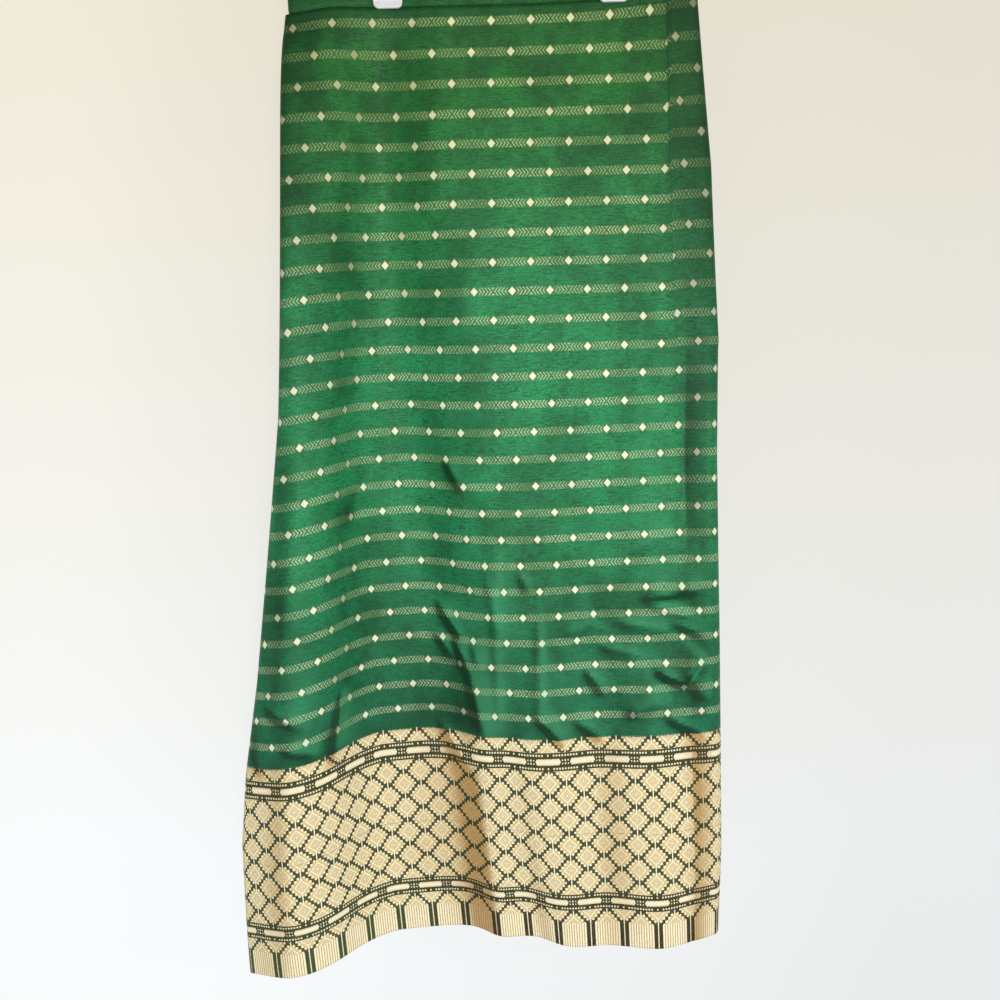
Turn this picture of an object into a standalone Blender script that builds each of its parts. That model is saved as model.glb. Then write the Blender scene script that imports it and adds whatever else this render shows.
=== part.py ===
"""Sinh tube skirt hung by its waistband from a clip hanger.

Units are metres and +Z is up. The origin is the point inside the hanger's hook that bears on a rail,
+X runs to the seen right and the front of the skirt faces -Y. On the cloth, `column` counts motif pitches
along the weft from the middle motif, and `fall` is the distance down the warp from the waist seam.
"""

import math

import bmesh
import bpy
import numpy as np

# Weave and cut
PITCH = 0.036
ROW_PITCH = 0.0269
BODY_FALL = 26.4 * ROW_PITCH
BORDER_FALL = 6.6 * PITCH
HEM_FALL = BODY_FALL + BORDER_FALL
WAISTBAND_HEIGHT = 0.035
CLOTH = 0.0012
BAND_CLOTH = 0.0020
SEAM_GAP = 0.0003

# Where the cloth hangs
WAIST_SEAM_Z = -0.150
MIDDLE_X = -0.009
SWAY = (-0.036, 0.053)

# The side seams as cut: the left flares, the right nearly follows the warp. Columns: fall, column.
LEFT_SEAM = (
    (0.00, -5.27),
    (0.20, -6.11),
    (0.36, -6.77),
    (0.50, -7.57),
    (0.62, -8.28),
    (0.72, -9.02),
    (0.80, -9.42),
    (HEM_FALL, -9.68),
)
RIGHT_SEAM = (
    (0.00, 6.20),
    (0.15, 6.35),
    (0.32, 6.25),
    (0.60, 6.42),
    (0.85, 6.53),
    (HEM_FALL, 6.46),
)

# The front dart: its axis column, intake at the waist in pitches, length, and groove depth and half width
DART_COLUMN = 4.9
DART_INTAKE = 0.95
DART_LENGTH = 0.31
DART_GROOVE = 0.0025
DART_HALF = 0.0030

# Folds of the front, as soft ridges towards the viewer (depth < 0) and hollows away from it.
# Columns: column at FOLD_FALL, drift, width, spread, depth at FOLD_FALL, start and ease of its growth.
FOLD_FALL = 0.70
FRONT_FOLDS = (
    (-6.60, -1.20, 2.20, 0.30, -0.050, 0.013, 0.28),
    (-4.15, -1.35, 2.30, 0.75, 0.024, 0.013, 0.25),
    (-2.00, 0.50, 0.90, 0.00, 0.008, 0.013, 0.10),
    (1.05, 1.50, 1.65, -0.90, -0.018, 0.070, 0.50),
    (4.45, -0.70, 1.90, 0.00, -0.019, 0.600, 40.0),
)
# Folds that only the back has, all bulging away from the front. Columns: column, width, depth.
BACK_FOLDS = (
    (-5.6, 1.3, 0.014),
    (-0.4, 1.5, 0.016),
    (3.6, 1.2, 0.012),
)

# Hanger
HOOK_RADIUS = 0.022
HOOK_WIRE = 0.0036
HOOK_NECK = 0.012
HOOK_START = -38.0
HOOK_STEPS = 23
BAR_Z = -0.098
BAR_RADIUS = 0.0018
BAR_HALF = 0.170
CLIP_X = 0.102
BLOCK_WALL = 0.0010
BLOCK_HEIGHT = 0.014
BLOCK_EDGE = 0.0008
BLOCK_DEPTH = 2.0 * (BAR_RADIUS + SEAM_GAP + BLOCK_WALL)
BOSS_WIDTH = 0.022
BOSS_DEPTH = 0.012
SLIDER_WIDTH = 0.018
JAW_WIDTH = 0.026
JAW_THICK = 0.0045
JAW_HEIGHT = 0.062
JAW_CORNER = 0.0040
JAW_EDGE = 0.0007
JAW_TOP_Z = -0.095
JAW_CLEAR = 0.002
BELOW_JAWS = WAIST_SEAM_Z - JAW_TOP_Z + JAW_HEIGHT + JAW_CLEAR

# Half the gap between front and back, and how far each side rounds out. The clips pinch the waist.
HALF_GAP_WAIST = 0.005
HALF_GAP_HEM = 0.022
HALF_GAP_PINCH = BLOCK_DEPTH / 2.0 - BAND_CLOTH / 2.0
PINCH_WIDTH = 0.030
PINCH_FADE = 0.070
ROUND_LEFT = 0.006
ROUND_RIGHT = 0.012
ROUND_ANGLES = (0.0, 20.0, 50.0)
EDGE_GAP = 0.0005
BAND_INSET = 0.0035

# Left of the clips the cloth sags, between them it dips, and right of the dart it lifts
SAG_COLUMN = -4.1
SAG_PER_PITCH = 0.0045
WAIST_DIP = 0.0018
DIP_REACH = 3.2
DIP_FADE = 0.1
LIFT = (0.0085, -0.0220, 0.0140)
LIFT_START = 1.8
LIFT_REACH = 3.0
LIFT_FADE = 0.020
LIFT_MIDDLE = 5.5
LIFT_SLOPE = 0.2
LIFT_STEP = 0.16
LIFT_SPREAD = 2.5
BAND_LEVELLING = 0.6

# Grid density
TABLE_COLUMNS = (-10.1, 7.0, 343)
TABLE_FALLS = 96
FRONT_COLUMNS = 30
DART_COLUMNS = 4
BACK_COLUMNS = 24
ROUND_STEPS = len(ROUND_ANGLES)
BODY_ROWS = 27
BORDER_ROWS = 9
BAND_ROWS = 3


def fresh_scene():
    for old in list(bpy.data.objects):
        bpy.data.objects.remove(old, do_unlink=True)
    parts = bpy.data.collections.new("sinh_skirt")
    bpy.context.scene.collection.children.link(parts)
    cutters = bpy.data.collections.new("cutters")
    bpy.context.scene.collection.children.link(cutters)
    return parts, cutters


def material(name, color, roughness, metallic=0.0):
    made = bpy.data.materials.new(name)
    made.use_nodes = True
    shader = made.node_tree.nodes["Principled BSDF"]
    shader.inputs["Base Color"].default_value = (*color, 1.0)
    shader.inputs["Roughness"].default_value = roughness
    shader.inputs["Metallic"].default_value = metallic
    made.diffuse_color = (*color, 1.0)
    return made


def growth(share, start, ease):
    """How much of a fold is there at this share of FOLD_FALL: none above start, all of it at 1."""
    past = np.clip((share - start) / (1.0 - start), 0.0, None)
    return (1.0 + ease) * past / (past + ease)


def fold_depth(column, fall):
    """Depth of the front's folds, away from the viewer."""
    share = fall / FOLD_FALL
    depth = np.zeros_like(column + fall)
    for middle, drift, width, spread, size, start, ease in FRONT_FOLDS:
        centre = middle + drift * (share - 1.0)
        reach = width * np.clip(1.0 + spread * (share - 1.0), 0.3, None)
        depth += size * growth(share, start, ease) * np.exp(-(((column - centre) / reach) ** 2))
    return depth


def dart_intake(fall):
    """The cloth, in pitches, that the dart takes in at this fall."""
    return DART_INTAKE * np.clip(1.0 - fall / DART_LENGTH, 0.0, None)


def dart_lift(column, finished, fall):
    """How far the dart lifts the cloth to its right: eased along the waist seam, a step at the dart."""
    share = fall / FOLD_FALL
    height = LIFT[0] + LIFT[1] * share + LIFT[2] * share**2
    ease = np.clip((finished - LIFT_START) / LIFT_REACH, 0.0, 1.0)
    eased = ease * ease * (3.0 - 2.0 * ease)
    width = LIFT_STEP + LIFT_SPREAD * max(0.0, fall - DART_LENGTH)
    step = np.clip((column - DART_COLUMN) / width + 0.5, 0.0, 1.0)
    stepped = step * step * (3.0 - 2.0 * step) * (1.0 + LIFT_SLOPE * (column - LIFT_MIDDLE))
    near_seam = math.exp(-fall / LIFT_FADE)
    return height * (near_seam * eased + (1.0 - near_seam) * stepped)


def running_sum(values, step, axis):
    """The integral of values from the first of them on, by trapezoids of one step."""
    values = np.moveaxis(values, axis, 0)
    total = np.cumsum((values[1:] + values[:-1]) * step / 2.0, axis=0)
    return np.moveaxis(np.concatenate([np.zeros_like(values[:1]), total]), 0, axis)


class Drape:
    """The front of the cloth, laid out on a fine table of falls and columns that keeps its lengths."""

    def __init__(self):
        self.columns = np.linspace(*TABLE_COLUMNS)
        self.falls = np.linspace(0.0, HEM_FALL, TABLE_FALLS)
        column, fall = np.meshgrid(self.columns, self.falls)
        depth = fold_depth(column, fall)
        sag = -SAG_PER_PITCH * np.clip(SAG_COLUMN - column, 0.0, None)
        step = self.columns[1] - self.columns[0]
        rise = np.gradient(depth, step, axis=1) ** 2 + np.gradient(sag, step, axis=1) ** 2
        across = running_sum(np.sqrt(PITCH**2 - rise), step, axis=1)
        across -= across[:, [np.argmin(abs(self.columns))]]
        across += SWAY[0] * fall + SWAY[1] * fall**2
        drop = self.falls[1] - self.falls[0]
        lean = np.gradient(depth, drop, axis=0) ** 2 + np.gradient(across, drop, axis=0) ** 2
        height = -running_sum(np.sqrt(1.0 - lean), drop, axis=0)
        dip = WAIST_DIP * np.clip(1.0 - (column / DIP_REACH) ** 2, 0.0, None) * np.exp(-fall / DIP_FADE)
        self.x = across + MIDDLE_X
        self.y = depth - HALF_GAP_WAIST
        self.z = height + sag - dip + WAIST_SEAM_Z

    def at(self, column, fall):
        """x, y, z arrays of the front along one fall, the dart's intake taken out to its right."""
        row = fall / HEM_FALL * (len(self.falls) - 1)
        low = min(int(row), len(self.falls) - 2)
        part = row - low
        found = []
        for table in (self.x, self.y, self.z):
            line = table[low] * (1.0 - part) + table[low + 1] * part
            found.append(np.interp(column, self.columns, line))
        intake = dart_intake(fall) * (column > DART_COLUMN)
        found[0] = found[0] - PITCH * intake
        found[2] = found[2] + dart_lift(column, column - intake, fall)
        return found


def half_gap(x, fall):
    """Half the distance between front and back: it widens down the skirt and is pinched at the clips."""
    wide = HALF_GAP_WAIST + (HALF_GAP_HEM - HALF_GAP_WAIST) * fall / HEM_FALL
    near_clip = np.exp(-(((abs(x) - CLIP_X) / PINCH_WIDTH) ** 4))
    pinch = near_clip * math.exp(-((fall / PINCH_FADE) ** 2))
    return wide - (wide - HALF_GAP_PINCH) * pinch, wide


def quarter_length(width, depth):
    return math.pi / 4.0 * math.sqrt(2.0 * (width**2 + depth**2))


def ring(drape, fall, front_count, dart_count, inset=0.0):
    """Front line and back line of the tube at one fall, from the left seam to the right seam.

    Each is a list of (x, y, z) with ROUND_STEPS points round each side, and the back's points pair with
    the front's.
    """
    left_seam = np.interp(fall, *zip(*LEFT_SEAM)) + inset / PITCH
    right_seam = np.interp(fall, *zip(*RIGHT_SEAM)) - inset / PITCH
    wide = half_gap(0.0, fall)[1]
    round_left = min(ROUND_LEFT, wide)
    round_right = min(ROUND_RIGHT, wide)
    left_in = left_seam + quarter_length(round_left, wide) / PITCH
    right_in = right_seam - quarter_length(round_right, wide) / PITCH
    dart_left = DART_COLUMN - dart_intake(fall) / 2.0
    dart_right = DART_COLUMN + dart_intake(fall) / 2.0
    groove = DART_HALF / PITCH
    column = np.concatenate([
        np.linspace(left_in, dart_left - groove, front_count),
        [dart_left, dart_right + groove],
        np.linspace(dart_right + groove, right_in, dart_count)[1:],
    ])
    x, y, z = drape.at(column, fall)
    half, wide_at = half_gap(x, fall)
    middle = y + wide_at
    notch = front_count
    front_y = middle - half
    front_y[notch] += DART_GROOVE * max(0.0, 1.0 - fall / DART_LENGTH)
    share = fall / HEM_FALL
    bulge = np.zeros_like(x)
    for centre, width, size in BACK_FOLDS:
        bulge += size * share * np.exp(-(((column - centre) / width) ** 2))
    away = np.minimum(column - left_in, right_in - column)
    back_y = middle + half + bulge * np.clip(away, 0.0, 1.0)
    front = list(zip(x, front_y, z))
    back = list(zip(x, back_y, z))
    for end, side, width in ((0, -1.0, round_left), (-1, 1.0, round_right)):
        px, pz = x[end], z[end]
        centre, depth = middle[end], half[end]
        slope = SAG_PER_PITCH / PITCH if side < 0 else 0.0
        start = math.asin(EDGE_GAP / 2.0 / depth)
        rounded_front = []
        rounded_back = []
        for angle in ROUND_ANGLES:
            turn = max(math.radians(angle), start)
            out = width * math.cos(turn)
            rise = depth * math.sin(turn)
            rounded_front.append((px + side * out, centre - rise, pz - slope * out))
            rounded_back.append((px + side * out, centre + rise, pz - slope * out))
        if side < 0:
            front = rounded_front + front
            back = rounded_back + back
        else:
            front = front + rounded_front[::-1]
            back = back + rounded_back[::-1]
    return front, back


def grid_object(name, rows, thickness, finish, parts, closed=False):
    """A sheet through rows of points, its thickness centred on them. A closed one is welded round."""
    count_down, count_across = len(rows), len(rows[0])
    work = bmesh.new()
    bmesh.ops.create_grid(work, x_segments=count_across - 1, y_segments=count_down - 1, size=1.0)
    for vert in work.verts:
        across = round((vert.co.x + 1.0) / 2.0 * (count_across - 1))
        down = round((1.0 - vert.co.y) / 2.0 * (count_down - 1))
        vert.co = rows[down][across]
    if closed:
        bmesh.ops.remove_doubles(work, verts=work.verts, dist=1e-6)
    mesh = bpy.data.meshes.new(name)
    work.to_mesh(mesh)
    work.free()
    mesh.shade_smooth()
    mesh.materials.append(finish)
    made = bpy.data.objects.new(name, mesh)
    parts.objects.link(made)
    wall = made.modifiers.new("wall", "SOLIDIFY")
    wall.thickness = thickness
    wall.offset = 0.0
    return made


def thinned(points, keep):
    """Every point that the plainer back needs: the round ends and about `keep` between them."""
    last = len(points) - 1
    inner = np.linspace(ROUND_STEPS, last - ROUND_STEPS, keep).round().astype(int)
    index = list(range(ROUND_STEPS)) + sorted(set(inner.tolist()))
    index += list(range(last - ROUND_STEPS + 1, last + 1))
    return [points[i] for i in index]


def panels(drape, finishes, parts):
    """Front and back of the body and of the foot border, a seam gap apart."""
    body_falls = np.linspace(BELOW_JAWS, BODY_FALL - SEAM_GAP / 2.0, BODY_ROWS)
    border_falls = np.linspace(BODY_FALL + SEAM_GAP / 2.0, HEM_FALL, BORDER_ROWS)
    for name, falls in (("body", [SEAM_GAP, *body_falls]), ("border", border_falls)):
        fronts = []
        backs = []
        for fall in falls:
            front, back = ring(drape, fall, FRONT_COLUMNS, DART_COLUMNS)
            fronts.append(front)
            backs.append(thinned(back, BACK_COLUMNS)[::-1])
        grid_object(name + "_front", fronts, CLOTH, finishes[name], parts)
        grid_object(name + "_back", backs, CLOTH, finishes[name], parts)


def waistband(drape, finish, parts):
    """One closed strip round the waist, above the seam, following the seam's dip and sag."""
    front, back = ring(drape, 0.0, FRONT_COLUMNS, DART_COLUMNS, inset=BAND_INSET)
    del front[ROUND_STEPS + FRONT_COLUMNS]
    del back[ROUND_STEPS + FRONT_COLUMNS]
    loop = front + back[::-1]
    loop = loop[1:] + loop[1:2]
    rows = []
    for step in range(BAND_ROWS + 1):
        rise = WAISTBAND_HEIGHT * (1.0 - step / BAND_ROWS)
        level = BAND_LEVELLING * rise / WAISTBAND_HEIGHT
        rows.append([(x, y, z + rise - level * (z - WAIST_SEAM_Z)) for x, y, z in loop])
    return grid_object("waistband", rows, BAND_CLOTH, finish, parts, closed=True)


def wire(name, points, radius, finish, parts, sides=3):
    """A round wire or rod along points, as a curve with filled caps."""
    curve = bpy.data.curves.new(name, "CURVE")
    curve.dimensions = "3D"
    curve.bevel_depth = radius
    curve.bevel_resolution = sides
    curve.use_fill_caps = True
    line = curve.splines.new("POLY")
    line.points.add(len(points) - 1)
    for point, place in zip(line.points, points):
        point.co = (*place, 1.0)
    curve.materials.append(finish)
    made = bpy.data.objects.new(name, curve)
    parts.objects.link(made)
    return made


def hook_points():
    """From the foot on the bar's boss, up the shank and round the hook to its open tip."""
    centre_z = -HOOK_RADIUS
    radius = HOOK_RADIUS + HOOK_WIRE / 2.0
    foot_z = BAR_Z + BLOCK_HEIGHT / 2.0 + SEAM_GAP
    neck_z = centre_z - radius - HOOK_NECK
    points = [(0.0, 0.0, foot_z), (0.0, 0.0, neck_z)]
    start = math.radians(HOOK_START)
    meet_x = radius * math.cos(start)
    meet_z = centre_z + radius * math.sin(start)
    for step in range(1, 5):
        share = step / 5.0
        sweep = math.sin(share * math.pi / 2.0)
        points.append((meet_x * sweep, 0.0, neck_z + (meet_z - neck_z) * share))
    for step in range(HOOK_STEPS):
        angle = start + math.radians(step * 10.0)
        points.append((radius * math.cos(angle), 0.0, centre_z + radius * math.sin(angle)))
    return points


def jaw(name, place, finish, parts):
    """A flat clip jaw facing -Y with rounded corners and edges."""
    curve = bpy.data.curves.new(name, "CURVE")
    curve.dimensions = "2D"
    curve.fill_mode = "BOTH"
    curve.extrude = JAW_THICK / 2.0 - JAW_EDGE
    curve.bevel_depth = JAW_EDGE
    curve.bevel_resolution = 1
    outline = []
    half_width = JAW_WIDTH / 2.0 - JAW_CORNER - JAW_EDGE
    half_height = JAW_HEIGHT / 2.0 - JAW_CORNER - JAW_EDGE
    corners = ((1, 1, 0), (-1, 1, 90), (-1, -1, 180), (1, -1, 270))
    for side_x, side_y, turn in corners:
        for step in range(4):
            angle = math.radians(turn + step * 30.0)
            x = side_x * half_width + JAW_CORNER * math.cos(angle)
            y = side_y * half_height + JAW_CORNER * math.sin(angle)
            outline.append((x, y))
    line = curve.splines.new("POLY")
    line.points.add(len(outline) - 1)
    for point, (x, y) in zip(line.points, outline):
        point.co = (x, y, 0.0, 1.0)
    line.use_cyclic_u = True
    curve.materials.append(finish)
    made = bpy.data.objects.new(name, curve)
    made.location = place
    made.rotation_euler = (math.pi / 2.0, 0.0, 0.0)
    parts.objects.link(made)
    return made


def bored_block(name, x, width, depth, finish, parts, cutters):
    """A block that the bar runs through, with a bore a seam gap wider than the bar."""
    bpy.ops.mesh.primitive_cube_add(size=1.0, location=(x, 0.0, BAR_Z))
    block = bpy.context.object
    block.name = name
    block.scale = (width, depth, BLOCK_HEIGHT)
    bpy.ops.object.transform_apply(location=False, rotation=False, scale=True)
    soft = block.modifiers.new("edges", "BEVEL")
    soft.width = BLOCK_EDGE
    soft.segments = 2
    bpy.ops.mesh.primitive_cylinder_add(
        vertices=20, radius=BAR_RADIUS + SEAM_GAP, depth=2.0 * width, location=(x, 0.0, BAR_Z)
    )
    cutter = bpy.context.object
    cutter.name = name + "_bore"
    cutter.rotation_euler = (0.0, math.pi / 2.0, 0.0)
    cutter.hide_render = True
    cutter.display_type = "WIRE"
    bore = block.modifiers.new("bore", "BOOLEAN")
    bore.object = cutter
    block.data.materials.append(finish)
    for made, home in ((block, parts), (cutter, cutters)):
        for old in list(made.users_collection):
            old.objects.unlink(made)
        home.objects.link(made)
    return block


def hanger(metal, plastic, parts, cutters):
    """Hook, bar and boss, and two clips whose jaws hold the waistband a seam gap from its faces."""
    wire("hanger_hook", hook_points(), HOOK_WIRE / 2.0, metal, parts)
    bar = ((-BAR_HALF, 0.0, BAR_Z), (BAR_HALF, 0.0, BAR_Z))
    wire("hanger_bar", bar, BAR_RADIUS, metal, parts, sides=4)
    bored_block("hanger_boss", 0.0, BOSS_WIDTH, BOSS_DEPTH, plastic, parts, cutters)
    offset = BLOCK_DEPTH / 2.0 + SEAM_GAP + JAW_THICK / 2.0
    for name, x in (("left", -CLIP_X), ("right", CLIP_X)):
        bored_block("clip_" + name + "_slider", x, SLIDER_WIDTH, BLOCK_DEPTH, plastic, parts, cutters)
        for face, side in (("front", -1.0), ("back", 1.0)):
            place = (x, side * offset, JAW_TOP_Z - JAW_HEIGHT / 2.0)
            jaw("clip_" + name + "_" + face, place, plastic, parts)


def main():
    parts, cutters = fresh_scene()
    finishes = {
        "body": material("green_cloth", (0.03, 0.19, 0.09), 0.55),
        "border": material("gold_border_cloth", (0.55, 0.43, 0.22), 0.6),
        "band": material("waistband_cloth", (0.03, 0.17, 0.07), 0.55),
        "plastic": material("clip_plastic", (0.72, 0.72, 0.74), 0.35),
        "metal": material("hanger_metal", (0.7, 0.7, 0.7), 0.25, 1.0),
    }
    drape = Drape()
    panels(drape, finishes, parts)
    waistband(drape, finishes["band"], parts)
    hanger(finishes["metal"], finishes["plastic"], parts, cutters)


main()
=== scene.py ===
import math

import bmesh
import bpy
import numpy as np
from mathutils import Matrix, Vector, noise


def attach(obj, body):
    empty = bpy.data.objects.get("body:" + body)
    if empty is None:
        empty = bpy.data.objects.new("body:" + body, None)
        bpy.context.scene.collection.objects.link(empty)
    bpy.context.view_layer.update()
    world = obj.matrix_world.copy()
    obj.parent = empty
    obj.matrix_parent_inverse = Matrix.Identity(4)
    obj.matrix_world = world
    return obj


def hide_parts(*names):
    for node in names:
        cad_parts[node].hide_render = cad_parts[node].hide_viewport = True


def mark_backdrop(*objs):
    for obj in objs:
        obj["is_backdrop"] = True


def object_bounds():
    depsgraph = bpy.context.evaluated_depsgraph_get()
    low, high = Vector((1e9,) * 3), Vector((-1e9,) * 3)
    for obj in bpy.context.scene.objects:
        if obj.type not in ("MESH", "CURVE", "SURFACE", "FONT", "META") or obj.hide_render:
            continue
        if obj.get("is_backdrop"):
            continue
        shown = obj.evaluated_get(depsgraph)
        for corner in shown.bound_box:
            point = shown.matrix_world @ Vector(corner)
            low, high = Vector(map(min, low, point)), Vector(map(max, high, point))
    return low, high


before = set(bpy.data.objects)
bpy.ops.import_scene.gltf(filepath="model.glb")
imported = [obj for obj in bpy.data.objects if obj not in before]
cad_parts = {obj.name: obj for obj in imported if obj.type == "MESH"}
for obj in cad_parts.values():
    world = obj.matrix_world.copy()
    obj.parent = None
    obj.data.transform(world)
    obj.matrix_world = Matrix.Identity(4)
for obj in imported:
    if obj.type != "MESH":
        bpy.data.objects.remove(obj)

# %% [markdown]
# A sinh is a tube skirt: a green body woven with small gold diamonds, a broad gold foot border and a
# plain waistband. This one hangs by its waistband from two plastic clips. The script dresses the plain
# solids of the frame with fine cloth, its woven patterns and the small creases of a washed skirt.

cad_low, cad_high = (list(corner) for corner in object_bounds())
print("frame box", [round(high - low, 4) for low, high in zip(cad_low, cad_high)])
scene = bpy.context.scene

# %% [markdown]
# The picture was taken from about a metre away with the phone tilted a little down and to one side.
# The lens and the tilt come from where the rows, the hem and the side edges lie in it, so the same
# view of this model frames the cloth the same way.

# %% The camera
LENS = 36.0
CAMERA_PLACE = (-0.01395, -0.98188, -0.4018)
CAMERA_DOWN = 0.20932
CAMERA_ROLL = 0.02911

camera_data = bpy.data.cameras.new("camera")
camera_data.lens = LENS
camera_data.sensor_width = LENS
camera_data.clip_start = 0.02
camera = bpy.data.objects.new("camera", camera_data)
turn = Matrix.Rotation(math.pi / 2.0 - CAMERA_DOWN, 4, "X") @ Matrix.Rotation(-CAMERA_ROLL, 4, "Z")
camera.matrix_world = Matrix.Translation(CAMERA_PLACE) @ turn
scene.collection.objects.link(camera)
scene.camera = camera
print("camera height over the hem", round(CAMERA_PLACE[2] - cad_low[2], 3))

# %% [markdown]
# The woven diamonds repeat every 36 mm, so the cloth is measured in pitches of one repeat across and in
# metres of fall below the waist seam. The seams, the dart and the folds below are those of the solids,
# written again here so that the fine cloth follows the same form.

# %% Sizes of the cloth
PITCH = 0.036
ROW_PITCH = 0.0269
BODY_FALL = 26.4 * ROW_PITCH
BORDER_FALL = 6.6 * PITCH
HEM_FALL = BODY_FALL + BORDER_FALL
CLOTH = 0.0010
SEAM_GAP = 0.0003
WAIST_SEAM_Z = -0.150
MIDDLE_X = -0.009
SWAY = (-0.036, 0.053)
LEFT_SEAM = (
    (0.00, -5.27), (0.20, -6.11), (0.36, -6.77), (0.50, -7.57),
    (0.62, -8.28), (0.72, -9.02), (0.80, -9.42), (HEM_FALL, -9.68),
)
RIGHT_SEAM = ((0.00, 6.20), (0.15, 6.35), (0.32, 6.25), (0.60, 6.42), (0.85, 6.53), (HEM_FALL, 6.46))
DART_COLUMN = 4.9
DART_INTAKE = 0.95
DART_LENGTH = 0.31
DART_GROOVE = 0.0025
DART_HALF = 0.0030
FOLD_FALL = 0.70
# Folds: column at FOLD_FALL, drift, width, spread, depth at FOLD_FALL, start and ease of its growth
FRONT_FOLDS = (
    (-6.60, -1.20, 2.20, 0.30, -0.050, 0.013, 0.28),
    (-4.15, -1.35, 2.30, 0.75, 0.024, 0.013, 0.25),
    (-2.00, 0.50, 0.90, 0.00, 0.008, 0.013, 0.10),
    (1.05, 1.50, 1.65, -0.90, -0.018, 0.070, 0.50),
    (4.45, -0.70, 1.90, 0.00, -0.019, 0.600, 40.0),
)
BACK_FOLDS = ((-5.6, 1.3, 0.014), (-0.4, 1.5, 0.016), (3.6, 1.2, 0.012))
CLIP_X = 0.102
HALF_GAP_WAIST = 0.005
HALF_GAP_HEM = 0.022
HALF_GAP_PINCH = 0.0021
PINCH_WIDTH = 0.030
PINCH_FADE = 0.070
ROUND_LEFT = 0.006
ROUND_RIGHT = 0.012
SAG_COLUMN = -4.1
SAG_PER_PITCH = 0.0045
WAIST_DIP = 0.0018
DIP_REACH = 3.2
DIP_FADE = 0.1
LIFT = (0.0085, -0.0220, 0.0140)
LIFT_START = 1.8
LIFT_REACH = 3.0
LIFT_FADE = 0.020
LIFT_MIDDLE = 5.5
LIFT_SLOPE = 0.2
LIFT_STEP = 0.16
LIFT_SPREAD = 2.5
TABLE_COLUMNS = (-10.1, 7.0, 343)
TABLE_FALLS = 96
print("cloth falls", round(HEM_FALL, 3), "m below the waist seam")

# %% [markdown]
# Cloth bends but hardly stretches. The front is laid out on a fine table of columns and falls: the folds
# give the depth, and the distance across and down is what is left of the cloth's own length. The dart
# takes its intake out to the right of it and lifts the cloth there.

# %% The drape of the front
def unit(value):
    return np.clip(value, 0.0, 1.0)


def eased(value):
    """A soft step from 0 to 1."""
    limited = unit(value)
    return limited * limited * (3.0 - 2.0 * limited)


def bell(value):
    return np.exp(-(value**2))


def growth(share, start, ease):
    past = np.clip((share - start) / (1.0 - start), 0.0, None)
    return (1.0 + ease) * past / (past + ease)


def fold_depth(column, fall):
    share = fall / FOLD_FALL
    depth = np.zeros_like(column + fall)
    for middle, drift, width, spread, size, start, ease in FRONT_FOLDS:
        centre = middle + drift * (share - 1.0)
        reach = width * np.clip(1.0 + spread * (share - 1.0), 0.3, None)
        depth += size * growth(share, start, ease) * bell((column - centre) / reach)
    return depth


def dart_intake(fall):
    return DART_INTAKE * np.clip(1.0 - fall / DART_LENGTH, 0.0, None)


def dart_lift(column, finished, fall):
    share = fall / FOLD_FALL
    height = LIFT[0] + LIFT[1] * share + LIFT[2] * share**2
    rising = eased((finished - LIFT_START) / LIFT_REACH)
    width = LIFT_STEP + LIFT_SPREAD * max(0.0, fall - DART_LENGTH)
    stepped = eased((column - DART_COLUMN) / width + 0.5) * (1.0 + LIFT_SLOPE * (column - LIFT_MIDDLE))
    near_seam = math.exp(-fall / LIFT_FADE)
    return height * (near_seam * rising + (1.0 - near_seam) * stepped)


def running_sum(values, step, axis):
    values = np.moveaxis(values, axis, 0)
    total = np.cumsum((values[1:] + values[:-1]) * step / 2.0, axis=0)
    return np.moveaxis(np.concatenate([np.zeros_like(values[:1]), total]), 0, axis)


def drape_table():
    columns = np.linspace(*TABLE_COLUMNS)
    falls = np.linspace(0.0, HEM_FALL, TABLE_FALLS)
    column, fall = np.meshgrid(columns, falls)
    depth = fold_depth(column, fall)
    sag = -SAG_PER_PITCH * np.clip(SAG_COLUMN - column, 0.0, None)
    step = columns[1] - columns[0]
    rise = np.gradient(depth, step, axis=1) ** 2 + np.gradient(sag, step, axis=1) ** 2
    across = running_sum(np.sqrt(PITCH**2 - rise), step, axis=1)
    across -= across[:, [np.argmin(abs(columns))]]
    across += SWAY[0] * fall + SWAY[1] * fall**2
    drop = falls[1] - falls[0]
    lean = np.gradient(depth, drop, axis=0) ** 2 + np.gradient(across, drop, axis=0) ** 2
    height = -running_sum(np.sqrt(1.0 - lean), drop, axis=0)
    dip = WAIST_DIP * np.clip(1.0 - (column / DIP_REACH) ** 2, 0.0, None) * np.exp(-fall / DIP_FADE)
    return columns, (across + MIDDLE_X, depth - HALF_GAP_WAIST, height + sag - dip + WAIST_SEAM_Z)


TABLE_AT, TABLES = drape_table()


def drape_at(column, fall):
    """x, y, z along one fall, with the dart's intake taken out."""
    row = fall / HEM_FALL * (TABLE_FALLS - 1)
    low = min(int(row), TABLE_FALLS - 2)
    part = row - low
    found = [np.interp(column, TABLE_AT, t[low] * (1.0 - part) + t[low + 1] * part) for t in TABLES]
    intake = dart_intake(fall) * (column > DART_COLUMN)
    found[0] = found[0] - PITCH * intake
    found[2] = found[2] + dart_lift(column, column - intake, fall)
    return found


print("front at the hem's middle", [round(float(v[0]), 3) for v in drape_at(np.array([0.0]), HEM_FALL)])
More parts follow.
